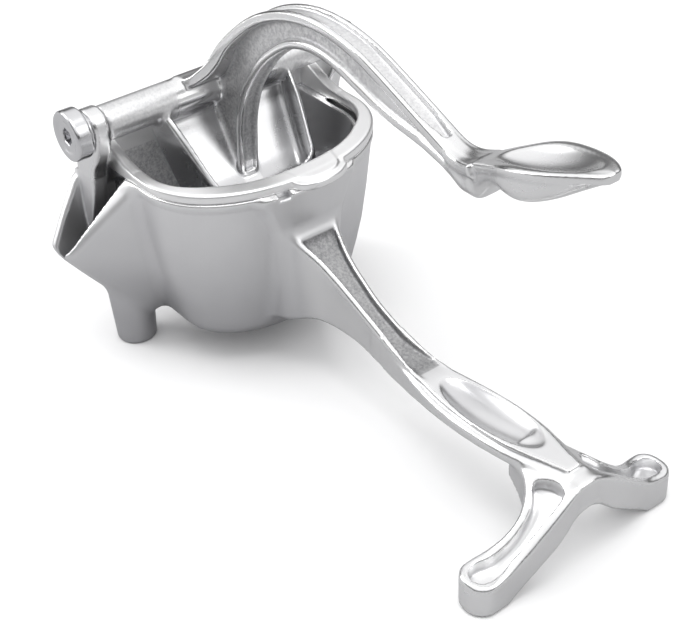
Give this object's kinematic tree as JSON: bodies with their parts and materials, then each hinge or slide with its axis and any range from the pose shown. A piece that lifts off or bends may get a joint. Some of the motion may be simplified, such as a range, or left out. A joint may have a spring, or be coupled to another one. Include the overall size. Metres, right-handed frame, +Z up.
{
  "type": "hand-lever citrus press",
  "caption": "Cast hand-lever citrus press: footed bowl with a side spout, lift-out cup with strainer, and an arched lever with a scoop press head.",
  "frame": {"origin": "on the table plane, at the middle of the rectangle the whole press covers", "axes": "+X from the hinge towards the forked foot, +Y away from the spout, +Z up"},
  "size_m": [0.2244, 0.1412, 0.1548],
  "materials": {
    "cast_body": "satin, polished on the raised edges",
    "cast_cup": "polished rim, blasted inside",
    "cast_lever": "polished flanges, blasted web",
    "steel": "turned steel",
    "bush": "natural nylon"
  },
  "bodies": {
    "base": {"body": "cast_body", "cup": "cast_cup", "strainer": "steel", "pivot_bolt": "steel", "thrust_washer": "steel", "far_washer": "steel", "lock_nut": "steel"},
    "lever": {"lever": "cast_lever", "hinge_bush_near": "bush", "hinge_bush_far": "bush"}
  },
  "joints": [
    {"name": "lever_hinge", "type": "hinge", "parent": "base", "child": "lever", "pos_m": [-0.0928, 0.0062, 0.105], "axis": [0, -1, 0], "range_deg": [-28, 75]}
  ]
}
